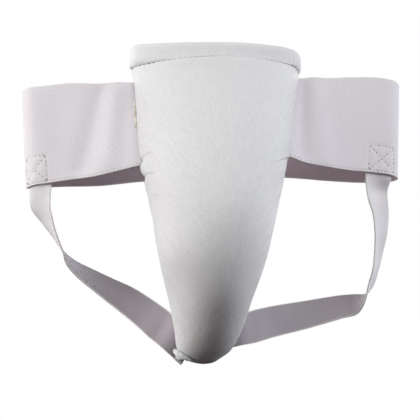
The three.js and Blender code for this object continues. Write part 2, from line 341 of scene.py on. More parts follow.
# The vinyl's stretch lines fan out on both sides of the cup, ripples ring its tip, and fine pleats lie
# by its right rim. A pair of lengths is where they begin and are full, across, up or round the cup.
FAN_LEAN = math.radians(35)
FAN_LEFT = (-6, -24)
FAN_RIGHT = (2, 20)
FAN_DOWN = (45, 0)
FAN_SCALE = (1050.0, 120.0, 75.0)
FAN_TONES = (0.58, 0.4)
TIP_CENTRE = (0.004, 0, -0.165)  # in metres
TIP_REACH = (44, 28)
TIP_LEVELS = (-166, -156)
RIPPLE_SCALE = (680.0, 150.0)
PLEAT_LEAN = math.radians(40)
PLEAT_ROUND = (104, 132)
PLEAT_LEVELS = (-22, -42)
PLEAT_SCALE = (560.0, 30.0, 55.0)
PLEAT_TONES = (0.43, 0.57)
GRAIN_SCALE = 620.0
GRAIN_STRETCH = (1.0, 1.0, 0.6)
GRAIN_TONES = (0.0, 0.16)
FINE_SCALE = 1250.0
PATCH_SCALE = 22.0
VINYL_WHITES = ((0.802, 0.807, 0.81, 1), (0.822, 0.827, 0.834, 1))
VINYL_MARKS = (0.728, 0.731, 0.742, 1)
# The colour of the painted shade in the tip's ripples and between the right rim's pleats.
VINYL_PAINTED_SHADE = (0.62, 0.61, 0.61, 1)

DARK_TONES = (0.58, 0.42)  # for the dark specks of any noise
STRAND_SCALE = 1600.0
STITCH_TONE_SCALE = 190.0
STITCH_TONES = (0.36, 0.6)
SHARP_ANGLE = math.radians(60)
PROBE = 0.004  # step along a surface for finding its directions
SHARE_DIGITS = 6  # to which equal shares of a grid agree


# Curves and surfaces.

def rows_about(rows, share):
    """The four rows about each share of a curve, and how far it lies between the middle two."""
    padded = np.concatenate([2 * rows[:1] - rows[1:2], rows, 2 * rows[-1:] - rows[-2:-1]])
    along = np.clip(share, 0, 1) * (len(rows) - 1)
    first = np.minimum(along.astype(int), len(rows) - 2)
    return [padded[first + k] for k in range(4)], along - first


def even_curve(rows, share):
    """Values along a smooth curve through evenly spaced rows, share running from 0 to 1."""
    (before, here, after, beyond), w = rows_about(rows, share)
    return cubic(here, after, (after - before) / 2, (beyond - here) / 2, w[..., None])


def ribbon(lines, share):
    """Places along every line of a ribbon at once; lines holds rows of places, one for each line."""
    (before, here, after, beyond), w = rows_about(lines, share)
    steps = (here - before, after - here, beyond - after)
    s0, s1, s2 = (np.sqrt(np.linalg.norm(step, axis=-1, keepdims=True)) for step in steps)
    leave = (here - before) / s0 - (after - before) / (s0 + s1) + (after - here) / s1
    arrive = (after - here) / s1 - (beyond - here) / (s1 + s2) + (beyond - after) / s2
    return cubic(here, after, leave * s1, arrive * s1, w[:, None, None])


def cubic(start, end, leave, arrive, w):
    third = 2 * (start - end) + leave + arrive
    second = 3 * (end - start) - 2 * leave - arrive
    return start + w * (leave + w * (second + w * third))


def unit(vectors):
    return vectors / np.maximum(np.linalg.norm(vectors, axis=-1, keepdims=True), TINY)


def smooth(value, low, high):
    """0 below low, 1 above high, and a soft rise between."""
    w = np.clip((value - low) / (high - low), 0, 1)
    return w * w * (3 - 2 * w)


def between(span, share):
    return span[0] + (span[1] - span[0]) * share


def from_either_end(distance, length):
    """A distance from the start; a negative one is given from the far end."""
    return distance if distance > 0 else length + distance


def bell(distance, width):
    return np.exp(-(distance / width) ** 2)


def lengths_along(line):
    steps = np.linalg.norm(np.diff(line, axis=0), axis=1)
    return np.concatenate([[0], np.cumsum(steps)])


def uneven(places, size, seed):
    """Smooth noise at places, from -1 to 1, with lumps of about the given size."""
    shift = Vector((seed, 2 * seed, 3 * seed))
    return np.array([noise.noise(Vector(p) / size + shift) for p in places])


FINE_DOWN = np.linspace(0, 1, 2000)
FINE_SECTIONS = even_curve(COVER_SECTIONS, FINE_DOWN)
RIM_LEVELS = FINE_SECTIONS[:, LEVEL] - FINE_SECTIONS[:, ARCH]


def cover_down_at(level, side):
    """The share of the cup's length at which its rear edge passes a height; side is -1 left, 1 right."""
    levels = RIM_LEVELS + side * FINE_SECTIONS[:, TILT]
    return np.interp(-np.asarray(level, float), -levels, FINE_DOWN)


def cover_point(down, around, inset):
    """Places on the cup: down its length and round its section from 0 to 1, inset from the outer face."""
    down, around, inset = np.broadcast_arrays(*(np.asarray(a, float) for a in (down, around, inset)))
    level, lean, half, rear, bulge, arch, tilt = np.moveaxis(even_curve(COVER_SECTIONS, down), -1, 0)
    turn = math.pi * around
    side = np.cos(turn)
    raised = COVER_TOP + (level - COVER_TOP) * (1 - inset / COVER_HEIGHT)
    rear = np.interp(-(raised - arch), -RIM_LEVELS, FINE_SECTIONS[:, REAR])
    x = lean - np.maximum(half - inset, 0) * side
    y = rear - np.maximum(bulge - inset, 0) * np.sin(turn)
    return np.stack([x, y, raised - arch * side ** 2 - tilt * side], -1)


def cover_out(down, around):
    """Outward directions of the cup's outer face."""
    down = np.clip(down, PROBE, 1 - PROBE)
    lengthwise = cover_point(down + PROBE, around, 0) - cover_point(down - PROBE, around, 0)
    crosswise = cover_point(down, around + PROBE, 0) - cover_point(down, around - PROBE, 0)
    return unit(np.cross(lengthwise, crosswise))


SEAM_ROUND = np.linspace(0, 1, SEAM_STEPS)
SEAM_LENGTHS = lengths_along(cover_point(0, SEAM_ROUND, 0))


def seam_distance(around):
    return np.interp(around, SEAM_ROUND, SEAM_LENGTHS)


def gather(around):
    """How strongly the seam is gathered: most at the cup's two top corners."""
    left = (PUCKER_LEFT - PUCKER_MID) * smooth(0.5 - around, *GATHER_LEFT)
    right = (PUCKER_RIGHT - PUCKER_MID) * smooth(around - 0.5, *GATHER_RIGHT)
    return PUCKER_MID + left + right


def pucker(around, sharp):
    """1 at each stitch of the top seam and near 0 between stitches."""
    wave = np.cos(2 * math.pi * seam_distance(around) / SEAM_PITCH)
    return ((1 + wave) / 2) ** sharp


def corner_rise(around):
    """How far the top edge stands above its even curve, most at its two corners."""
    left = LEFT_CORNER_RISE * (1 - smooth(around, *LEFT_CORNER_SPAN))
    right = RIGHT_CORNER_RISE * bell(around - RIGHT_CORNER_AT, RIGHT_CORNER_SPAN)
    return left + right - RIGHT_CORNER_CURL * smooth(around, *RIGHT_CURL_SPAN)


def band_lines(across):
    """The waistband's rows of places at several shares of its height."""
    across = np.asarray(across, float)

    def tucked(side, inset):
        rim = cover_point(cover_down_at(between(BAND_ENDS[side], across), side), (1 + side) / 2, 0)
        return rim + np.array([-side * inset, BAND_GAP + BAND_THICK / 2, 0])

    rows = between(BAND_ROWS.swapaxes(0, 1)[:, :, None], across[:, None])
    left, right = ([tucked(side, inset)[None] for inset in (BAND_TUCK, 0)] for side in (-1, 1))
    return np.concatenate([*left, rows, *reversed(right)])


FINE_ALONG = np.linspace(0, 1, 3000)
BAND_MIDDLE = lengths_along(ribbon(band_lines([0.5]), FINE_ALONG)[:, 0])
BAND_LENGTH = BAND_MIDDLE[-1]


def band_point(share, across, lift):
    """Places on the waistband at shares of its rows and heights, lifted off its middle surface."""
    across = np.asarray(across, float)
    along = ribbon(band_lines(across), share + PROBE) - ribbon(band_lines(across), share - PROBE)
    down = ribbon(band_lines(across + PROBE), share) - ribbon(band_lines(across - PROBE), share)
    return ribbon(band_lines(across), share) + unit(np.cross(along, down)) * lift


def band_places(distance, across, lift):
    """Places on the waistband, one for each distance from its left end, share down and lift."""
    share = np.interp(distance, BAND_MIDDLE, FINE_ALONG)
    return np.array([band_point(np.array([s]), [a], h)[0, 0] for s, a, h in zip(share, across, lift)])


def strap_lines(side, across):
    """A leg strap's rows of places: its top end on the waistband, then its own rows; side is -1 or 1."""
    rows = STRAP_ROWS[side]
    sewn_line = lengths_along(ribbon(band_lines([(1 + STRAP_SEWN_FROM) / 2]), FINE_ALONG)[:, 0])
    middle = from_either_end(STRAP_AT[side], sewn_line[-1])
    sideways = (np.asarray(across, float) - 0.5) * STRAP_WIDTH
    share = np.interp(middle - side * sideways, sewn_line, FINE_ALONG)
    sewn = band_point(share, np.linspace(STRAP_SEWN_FROM, 1, STRAP_SEWN_ROWS), STRAP_LIFT)
    centres = rows.mean(axis=1)[:, None]
    outward = unit(rows[:, 1] - rows[:, 0])[:, None]
    return np.concatenate([np.moveaxis(sewn, 1, 0), centres + outward * sideways[:, None]])


# Meshes.

def finished(name, bm):
    """A new object from a bmesh, smooth shaded but for its square corners."""
    mesh = bpy.data.meshes.new(name)
    bm.to_mesh(mesh)
    bm.free()
    mesh.shade_smooth()
    mesh.set_sharp_from_angle(angle=SHARP_ANGLE)
    piece = bpy.data.objects.new(name, mesh)
    bpy.context.scene.collection.objects.link(piece)
    return piece


def draped_grid(columns, rows, shape):
    """A grid laid on a surface. shape takes shares across and along and gives places and flat sizes."""
    bm = bmesh.new()
    bmesh.ops.create_grid(bm, x_segments=columns, y_segments=rows, size=0.5)
    bm.verts.index_update()
    shares = np.array([vert.co[:2] for vert in bm.verts]) + 0.5
    places, flat = shape(shares[:, 0], shares[:, 1])
    surface = bm.loops.layers.uv.new("surface")
    for face in bm.faces:
        for loop in face.loops:
            loop[surface].uv = flat[loop.vert.index] * MM
    for vert, place in zip(bm.verts, places):
        vert.co = place * MM
    return bm


def close_seams(bm):
    """Merges a grid's meeting edges and points its faces outwards."""
    bmesh.ops.remove_doubles(bm, verts=bm.verts, dist=MERGE_DISTANCE * MM)
    bmesh.ops.dissolve_degenerate(bm, edges=bm.edges, dist=MERGE_DISTANCE * MM)
    bmesh.ops.recalc_face_normals(bm, faces=bm.faces)


def make_padded(name, grid, shape):
    """A closed, padded piece from a grid that is bent round until its edges meet."""
    bm = draped_grid(*grid, shape)
    close_seams(bm)
    return finished(name, bm)


def make_sheet(name, grid, shape, thick, edge, flip=False, inside=0):
    """A sheet with its thickness about its middle surface, rounded edges and its inside's finish."""
    bm = draped_grid(*grid, shape)
    if flip:
        bmesh.ops.reverse_faces(bm, faces=bm.faces)
    piece = finished(name, bm)
    wall = piece.modifiers.new("thickness", "SOLIDIFY")
    wall.thickness = thick * MM
    wall.offset = 0
    wall.use_even_offset = True
    wall.material_offset = inside
    rounding = piece.modifiers.new("edges", "BEVEL")
    rounding.width = edge * MM
    rounding.segments = EDGE_SEGMENTS
    rounding.limit_method = "ANGLE"
    rounding.angle_limit = EDGE_ANGLE
    return piece


def crease_depth(x, z):
    """How far the cover stands in or out at its creases, seen from the front."""
    depth = np.zeros_like(x)
    for x0, z0, x1, z1, deep, wide in CREASES:
        along = np.array([x1 - x0, z1 - z0])
        long = np.linalg.norm(along)
        run = ((x - x0) * along[0] + (z - z0) * along[1]) / long
        bow = CREASE_BOW * np.sin(math.pi * np.clip(run / long, 0, 1))
        off = ((z - z0) * along[0] - (x - x0) * along[1]) / long * math.copysign(1, along[0]) - bow
        fade = (1 - smooth(run / long, CREASE_FADE, 1)) * smooth(run, *CREASE_START)
        depth -= deep * fade * bell(off, np.where(off > 0, wide, CREASE_EASE * wide))
    return depth


def cup_cover_shape(u, v):
    """The cup's padded wall as one closed ring: outer face, right edge, inner face, left edge."""
    ring = np.interp(u, COVER_RING_SHARES, range(5))
    around = np.interp(ring, range(5), (0, 1, 1, 0, 0))
    turn = np.interp(ring, range(5), (0, 0, 1, 1, 0)) * math.pi
    v = np.interp(v, *COVER_ROW_SHARES)
    drop = COVER_TOP - even_curve(COVER_SECTIONS, v)[:, LEVEL]
    above = 1 - np.clip(drop / COVER_NOSE, 0, 1)
    nose = COVER_WALL / 2 * (1 - (1 - above ** COVER_NOSE_FULL) ** (1 / COVER_NOSE_FULL))
    depth = (1 - np.cos(turn)) / 2
    inset = nose + (COVER_WALL - 2 * nose) * depth
    places = cover_point(v, around, inset)
    beside = np.minimum(around, 1 - around)
    at_edge = (1 - np.sin(turn)) * bell(beside, COVER_RIM_SPAN)
    places[:, 1] -= COVER_RIM_ROUND * at_edge * smooth(1 - v, 0, COVER_RIM_TIP)
    outer = ring <= 1
    swell = COVER_SWELL * uneven(places, COVER_SWELL_SIZE, COVER_SEED)
    swell *= smooth(beside, 0, COVER_SWELL_SPAN)
    swell += crease_depth(places[:, 0], places[:, 2])
    gathers = COVER_PUCKER * gather(around) * pucker(around, COVER_PUCKER_SHARP)
    swell -= gathers * bell(drop - COVER_PUCKER_DROP, COVER_PUCKER_FADE)
    swell *= smooth(1 - v, *COVER_TIP_FADE)
    places += cover_out(v, around) * (swell * outer)[:, None]
    places[:, 2] += corner_rise(around) * bell(drop, CORNER_DEPTH)
    for level, tall, reach in RIM_BUMP:
        from_rim = np.where(around < 0.5, around, 1)
        places[:, 0] -= reach * bell(places[:, 2] - level, tall) * bell(from_rim, RIM_BUMP_SPAN)
    return places, np.stack([around * COVER_ROUND_FLAT, v * COVER_HEIGHT], -1)


def roll_section(u):
    """Round the seam, and in its rounded ends how far past it and at which share of full size."""
    past = np.clip(1 - np.minimum(u, 1 - u) / ROLL_END_SHARE, 0, 1) * math.pi / 2
    around = np.clip((u - ROLL_END_SHARE) / (1 - 2 * ROLL_END_SHARE), 0, 1)
    return around, ROLL_END_REACH * np.sin(past), np.cos(past)


def top_roll_shape(u, v):
    around, reach, share = roll_section(u)
    out = unit((cover_point(0, around, 0) - cover_point(0, around, COVER_WALL)) * (1, 1, 0))
    left, middle, right = ROLL_HEIGHTS
    end = np.where(around < 0.5, left, right)
    half = between((middle, end), np.cos(math.pi * around) ** 2) / 2
    turn = 2 * math.pi * v
    across, up = np.cos(turn), np.sin(turn)
    left_end = 1 - smooth(around, *ROLL_LEFT_SPAN)
    at_ends = np.maximum(smooth(0.5 - around, *ROLL_TO_LEFT), smooth(around - 0.5, *ROLL_TO_RIGHT))
    foot = 1 / between((1 / ROLL_FOOT_FULL, 1 / ROLL_END_FOOT_FULL), at_ends)
    full = np.where(up > 0, between((ROLL_FULL, ROLL_LEFT_FULL), left_end), foot)
    size = share / (np.abs(across) ** full + np.abs(up) ** full) ** (1 / full)
    low = ((1 - up) / 2) ** ROLL_LOW_FADE
    fall = between(PUCKER_FALL, smooth(np.abs(around - 0.5), *GATHER_FALL))
    pinch = gather(around) * pucker(around, PUCKER_SHARP) * low ** fall * share
    drawn_in = 1 - ROLL_FLUSH * low * (1 - at_ends)
    places = cover_point(0, around, COVER_WALL / 2)
    on_section = places + ROLL_LUMP_ROUND * np.stack([across, 0 * up, up], -1)
    lumps = ROLL_LUMPS * share * uneven(on_section, ROLL_LUMP_SIZE, ROLL_SEED)
    sag = ROLL_LEFT_SAG * left_end * np.clip(across, 0, 1) * np.clip(-up, 0, 1)
    places[:, 0] += ROLL_LEFT_LEAN * left_end * up
    places[:, 1] += reach
    outer_foot = smooth(across * size, *ROLL_LIP_CORNER) * smooth(-up * size, *ROLL_LIP_CORNER)
    hang = sag * share + ROLL_LIP * (1 - at_ends) * outer_foot
    rise = up * (half * size - pinch * PUCKER_LIFT)
    places[:, 2] += corner_rise(around) + ROLL_GAP + half + rise - hang
    reach_out = across * (ROLL_THICK / 2 * size * drawn_in - pinch + lumps)
    places += out * (reach_out - ROLL_SET_BACK * (1 - at_ends))[:, None]
    girth = 2 * math.pi * (ROLL_THICK + middle) / 4
    return places, np.stack([seam_distance(around) + reach * np.sign(around - 0.5), v * girth], -1)


def hem_stations():
    """Centre, outward half thickness and half height of the hem at its stations."""
    down, around, tall, thick = HEM_STATIONS.T
    out = unit(cover_out(down, around) * (1, 1, 0))
    centre = cover_point(down, around, 0) + out * (thick / 4 + HEM_GAP)[:, None]
    centre[:, 2] -= tall / 2
    return np.column_stack([centre, out * thick[:, None] / 2, tall / 2])


def hem_fold_shape(u, v):
    """A rolled upper edge with a thinner strip of cover below it."""
    station = even_curve(hem_stations(), u)
    from_end = np.clip(np.minimum(u, 1 - u) / HEM_END, 0, 1)
    station[:, 3:] *= np.sqrt(from_end * (2 - from_end))[:, None]
    centre, out, tall = station[:, :3], station[:, 3:6], station[:, 6]
    thick = 2 * np.linalg.norm(out, axis=1)
    turn = 2 * math.pi * v
    across, rise = np.cos(turn), np.sin(turn)
    twist = 1 + HEM_TWIST_DEPTH * np.cos(turn + 2 * math.pi * u * HEM_LENGTH / HEM_TWIST_PITCH)
    tube = HEM_TUBE * thick
    below_middle = np.maximum(tall * (1 - rise) - tube, -tube)
    round_edge = np.sqrt(np.maximum(tube ** 2 - below_middle ** 2, 0)) * twist
    flat_strip = HEM_STRIP * thick * np.sqrt(1 - np.clip(rise, -1, 1) ** 2)
    places = centre + unit(out) * (np.sign(across) * np.maximum(round_edge, flat_strip))[:, None]
    places[:, 2] += tall * rise
    places -= unit(out) * (HEM_LEAN * np.maximum(below_middle - tube / 2, 0))[:, None]
    return places, np.stack([u * HEM_LENGTH, v * 2 * HEM_TALL], -1)


def band_fold_height(distance, across):
    height = np.zeros_like(distance)
    for start, lean, wide, tall in BAND_FOLDS:
        middle = from_either_end(start, BAND_LENGTH) + lean * (across - 0.5)
        height += tall * bell(distance - middle, wide)
    ends = np.minimum(distance, BAND_LENGTH - distance)
    height *= smooth(np.minimum(across, 1 - across), -BAND_FOLD_FADE / 2, BAND_FOLD_FADE)
    return height * smooth(ends, BAND_TUCK, BAND_END_CLEAR + BAND_TUCK)


def on_lines(lines_of, u, v):
    """A ribbon's grid, from its lines at each share across: its places and the directions off it."""
    shares, column = np.unique(u.round(SHARE_DIGITS), return_inverse=True)
    along, row = np.unique(v.round(SHARE_DIGITS), return_inverse=True)
    grid = ribbon(lines_of(shares), along)
    out = unit(np.cross(np.gradient(grid, axis=0), np.gradient(grid, axis=1)))
    return grid[row, column], out[row, column]


def box_lines(side):
    """The lines of a strap's sewn box with its cross, as distances along and down the flat waistband."""
    near, far = (from_either_end(sewn, BAND_LENGTH) for sewn in STRAP_BOXES[side])
    top, foot = (share * BAND_WIDTH for share in STRAP_BOX_HEIGHTS)
    corners = ((near, top), (near, foot), (far, top), (far, foot))
    pairs = ((0, 1), (2, 3), (0, 2), (1, 3), (0, 3), (2, 1))
    return [np.array([corners[a], corners[b]]) for a, b in pairs]


def sewn_depth(flat):
    """How far the waistband is drawn in by the lines of its two sewn boxes."""
    depth = np.zeros(len(flat))
    for start, end in box_lines(-1) + box_lines(1):
        run = end - start
        share = np.clip((flat - start) @ run / (run @ run), 0, 1)
        off = np.linalg.norm(flat - start - share[:, None] * run, axis=1)
        depth = np.maximum(depth, SEWN_DEPTH * bell(off, SEWN_WIDTH))
    return depth


def waistband_shape(u, v):
    places, out = on_lines(band_lines, u, v)
    distance = np.interp(v, FINE_ALONG, BAND_MIDDLE)
    flat = np.stack([distance, u * BAND_WIDTH], -1)
    height = band_fold_height(distance, u) - sewn_depth(flat)
    return places + out * height[:, None], flat


def raw_edge_shape(u, v):
    """The strip of the waistband's cut edge that shows beside the cup's left rim."""
    distance = between(RAW_EDGE_ALONG, u)
    across = between(RAW_EDGE_ACROSS, v)
    flat = np.stack([distance, across * BAND_WIDTH], -1)
    on_edge = np.outer(across * BAND_WIDTH, (0, 1, 0))
    fray = uneven(on_edge, RAW_EDGE_FRAY_SIZE, RAW_EDGE_SEED) * u
    lift = RAW_EDGE_LIFT + BAND_THICK / 2 + RAW_EDGE_FRAY[1] * fray
    return band_places(distance + RAW_EDGE_FRAY[0] * fray, across, lift), flat


def strap_length(side):
    return lengths_along(ribbon(strap_lines(side, [0.5]), FINE_ALONG)[:, 0])


def make_strap(name, side):
    lengths = strap_length(side)

    def shape(u, v):
        places, out = on_lines(lambda shares: strap_lines(side, shares), u, v)
        distance = np.interp(v, FINE_ALONG, lengths)
        height = np.zeros_like(distance)
        for start, middle, long, wide, tall in STRAP_BENDS[side]:
            at = from_either_end(start, lengths[-1])
            height += tall * bell(distance - at, long) * bell(u - middle, wide)
        return places + side * out * height[:, None], np.stack([distance, u * STRAP_WIDTH], -1)

    return make_sheet(name, STRAP_GRID, shape, STRAP_THICK, STRAP_EDGE, flip=side > 0, inside=1)


def strap_face(side, along, across, lift):
    """Places on a strap's face at distances from its top end and shares of its width."""
    lengths = strap_length(side)
    share = np.interp(along, lengths, FINE_ALONG)
    edges = strap_lines(side, [0, 1])
    front, back = np.moveaxis(ribbon(edges, share), 1, 0)
    ahead = ribbon(edges, share + PROBE)[:, 0]
    out = unit(np.cross(ahead - front, back - front))
    return between((front, back), across[:, None]) + out * np.reshape(lift, (-1, 1))


def strap_corner_shape(u, v):
    """The left strap's lower corner, turned up so that the strap's pale side shows."""
    end = strap_length(-1)[-1]
    along = end - between(CORNER_ALONG, v)
    lift = STRAP_THICK / 2 + CORNER_THICK + CORNER_LIFT * np.sin(u * math.pi / 2)
    places = strap_face(-1, along, CORNER_ACROSS * u, lift)
    return places, np.stack([along, STRAP_WIDTH / 2 + CORNER_ACROSS * STRAP_WIDTH * u], -1)


# Stitches.

def add_stitch(bm, start, end, radius):
    """One stitch of thread from start to end, thickest in its middle."""
    run = Vector((end - start) * MM)
    place = Matrix.Translation(Vector((start + end) / 2 * MM))
    turn = run.to_track_quat("Z", "Y").to_matrix().to_4x4()
    size = Matrix.Diagonal((radius * MM, radius * MM, run.length / 2, 1))
    bmesh.ops.create_uvsphere(
        bm, u_segments=STITCH_SIDES, v_segments=STITCH_RINGS, radius=1, matrix=place @ turn @ size)


def add_stitches(bm, line, pitch=STITCH_PITCH, long=STITCH_LONG, radius=THREAD_RADIUS):
    """A row of stitches along a fine line of places."""
    lengths = lengths_along(line)
    count = max(1, round(lengths[-1] / pitch))

    def at(distance):
        return np.array([np.interp(distance, lengths, line[:, k]) for k in range(3)])

    for middle in (np.arange(count) + 0.5) * lengths[-1] / count:
        own_size = 1 + STITCH_UNEVEN * uneven([at(middle)], STITCH_UNEVEN_SIZE, STITCH_SEED)[0]
        half = long * own_size / 2
        add_stitch(bm, at(middle - half), at(middle + half), radius * own_size)


def stitched(name, lines, *thread):
    """A piece with a row of stitches along each of its lines."""
    bm = bmesh.new()
    for line in lines:
        add_stitches(bm, line, *thread)
    return finished(name, bm)


def roll_seam_line():
    """The groove between the cup's cover and its top roll."""
    around = np.linspace(*SEAM_STITCH_SPAN, SEAM_STEPS)
    line = cover_point(0, around, 0)
    line[:, 2] += corner_rise(around) + ROLL_GAP / 2
    return line


def strap_sewn_lines(side):
    """A strap's sewn box with its cross, on both faces of the waistband, and rows at its lower end."""
    fine = np.linspace(0, 1, BOX_STEPS)
    for line in box_lines(side):
        distance, flat_across = between(line, fine[:, None]).T
        across = flat_across / BAND_WIDTH
        outside = BAND_THICK / 2 - SEWN_DEPTH + band_fold_height(distance, across)
        yield band_places(distance, across, outside)
        yield band_places(distance, across, np.full(BOX_STEPS, STRAP_LIFT - STRAP_THICK / 2))
    for distance in STRAP_END_ROWS:
        along = np.full(BOX_STEPS, strap_length(side)[-1] - distance)
        for lift in (-STRAP_THICK / 2, STRAP_THICK / 2):
            yield strap_face(side, along, between(STRAP_END_ACROSS, fine), lift)


def band_end_lines():
    """Two rows that hold each end of the waistband to the cup's rear edge."""
    across = np.linspace(*BAND_END_ACROSS, END_STEPS)
    for distance in (*BAND_END_ROWS, *(BAND_LENGTH - row for row in BAND_END_ROWS)):
        share = np.interp([distance], BAND_MIDDLE, FINE_ALONG)
        yield band_point(share, across, -BAND_THICK / 2)[0]


def rim_lines():
    """The cup's rear edges below the waistband, where the cover is closed."""
    for side, start in RIM_STITCH_FROM.items():
        down = np.linspace(cover_down_at(start, side), cover_down_at(RIM_STITCH_TO, side), RIM_STEPS)
        yield cover_point(down, (1 + side) / 2, COVER_WALL / 2)


# Finishes.

class Value:
    """A shader socket. Arithmetic on it adds Math nodes to its tree."""

    def __init__(self, tree, socket):
        self.tree = tree
        self.socket = socket

    def math(self, operation, *terms):
        return self.tree.node("ShaderNodeMath", {"operation": operation}, dict(enumerate(terms)))

    def __add__(self, other):
        return self.math("ADD", self, other)

    def __sub__(self, other):
        return self.math("SUBTRACT", self, other)

    def __rsub__(self, other):
        return self.math("SUBTRACT", other, self)

    def __mul__(self, other):
        return self.math("MULTIPLY", self, other)

    __radd__ = __add__
    __rmul__ = __mul__

    def size(self):
        return self.math("ABSOLUTE", self)

    def wave(self, pitch):
        """A wave along this value from 0 to 1, one crest for each pitch in millimetres."""
        return self.math("SINE", self * (2 * math.pi / (pitch * MM))) * 0.5 + 0.5

    def rise(self, low, high):
        """0 at low and 1 at high, with a soft rise between."""
        span = {"Value": self, "From Min": low, "From Max": high}
        return self.tree.node("ShaderNodeMapRange", {"interpolation_type": "SMOOTHSTEP"}, span)

    def over(self, span):
        """A soft rise between two distances in millimetres."""
        return self.rise(span[0] * MM, span[1] * MM)


class Tree:
    """A node tree that one method adds nodes to."""

    def __init__(self, node_tree):
        self.node_tree = node_tree

    def put(self, entry, term):
        if isinstance(term, Value):
            self.node_tree.links.new(term.socket, entry)
        else:
            entry.default_value = term

    def node(self, kind, settings, inputs, output=0):
        node = self.node_tree.nodes.new(kind)
        for key, setting in settings.items():
            setattr(node, key, setting)
        for key, term in inputs.items():
            self.put(node.inputs[key], term)
        return Value(self, node.outputs[output])


class Finish(Tree):
    """A material with one Principled shader; constants are set on the shader's own sockets."""

    def __init__(self, name, constants):
        self.material = bpy.data.materials.new(name)
        self.material.use_nodes = True
        super().__init__(self.material.node_tree)
        self.shader = self.node_tree.nodes["Principled BSDF"]
        for key, constant in constants.items():
            self.shader.inputs[key].default_value = constant

    def place(self):
        return self.node("ShaderNodeTexCoord", {}, {}, "Object")

    def flat(self):
        return self.node("ShaderNodeUVMap", {"uv_map": "surface"}, {})

    def part(self, vector, index):
        return self.node("ShaderNodeSeparateXYZ", {}, {0: vector}, index)

    def turned(self, vector, angle):
        return self.node("ShaderNodeMapping", {}, {"Vector": vector, "Rotation": (0, angle, 0)})

    def stretched(self, vector, scale):
        return self.node("ShaderNodeVectorMath", {"operation": "MULTIPLY"}, {0: vector, 1: scale})

    def noise(self, vector, scale, detail=2.0):
        return self.node("ShaderNodeTexNoise", {}, {"Vector": vector, "Scale": scale, "Detail": detail})

    def creases(self, vector, scale):
        edges = {"feature": "DISTANCE_TO_EDGE"}
        return self.node("ShaderNodeTexVoronoi", edges, {"Vector": vector, "Scale": scale})

    def mix(self, share, first, second):
        return self.node("ShaderNodeMix", {"data_type": "RGBA"}, {0: share, 6: first, 7: second}, 2)

    def relief(self, height, distance, strength):
        bump = {"Height": height, "Distance": distance * MM, "Strength": strength}
        self.put(self.shader.inputs["Normal"], self.node("ShaderNodeBump", {}, bump))

    def colour(self, value):
        self.put(self.shader.inputs["Base Color"], value)

    def roughness(self, value):
        self.put(self.shader.inputs["Roughness"], value)


def vinyl_finish():
    """White grained vinyl: fine cells, fanned stretch lines, tip ripples and pleats by the right rim,
    with painted shade in their hollows.
    """
    finish = Finish("white_vinyl", {"Specular IOR Level": 0.25})
    place = finish.place()
    sideways = finish.part(place, 0)
    height = finish.part(place, 2)

    def lines(lean, scale):
        return finish.noise(finish.stretched(finish.turned(place, lean), scale), 1.0, 1.0)

    left = sideways.over(FAN_LEFT)
    right = sideways.over(FAN_RIGHT)
    leaning = lines(FAN_LEAN, FAN_SCALE) * left + lines(-FAN_LEAN, FAN_SCALE) * right
    fan = leaning + lines(0, FAN_SCALE) * (1 - left - right)
    grain = finish.creases(finish.stretched(place, GRAIN_STRETCH), GRAIN_SCALE).rise(*GRAIN_TONES)
    fine = finish.noise(place, FINE_SCALE, 1.0)
    front = finish.stretched(place, (1.0, 0.0, 1.0))
    apart = {"operation": "DISTANCE"}
    from_tip = finish.node("ShaderNodeVectorMath", apart, {0: front, 1: TIP_CENTRE}, "Value")
    near_tip = from_tip.over(TIP_REACH) * height.over(TIP_LEVELS)
    ring, along_ring = RIPPLE_SCALE
    arcs = finish.node("ShaderNodeCombineXYZ", {}, {0: from_tip * ring, 1: sideways * along_ring})
    ripples = finish.noise(arcs, 1.0, 1.0)
    by_rim = finish.part(finish.flat(), 0).over(PLEAT_ROUND) * height.over(PLEAT_LEVELS)
    pleats = lines(-PLEAT_LEAN, PLEAT_SCALE).rise(*PLEAT_TONES)
    white = finish.mix(finish.noise(place, PATCH_SCALE), *VINYL_WHITES)
    below_top = height.over(FAN_DOWN) * 0.3 + 0.15
    marks = fan.rise(*FAN_TONES) * below_top + fine.rise(*DARK_TONES) * 0.75
    marked = finish.mix(marks, white, VINYL_MARKS)
    # Painted shade: the ripples' hollows near the tip and the troughs between the pleats are darkened.
    shaded = ripples.rise(*DARK_TONES) * near_tip * 0.32 + (1 - pleats) * by_rim * 0.45
    finish.colour(finish.mix(shaded, marked, VINYL_PAINTED_SHADE))
    finish.roughness(0.58 + fine * 0.1 - grain * 0.06)
    folds = ripples * near_tip * 0.8 + pleats * by_rim * 1.6
    finish.relief(grain * 0.3 + fine * 0.4 + fan * 0.6 + folds, distance=0.14, strength=0.8)
    return finish.material


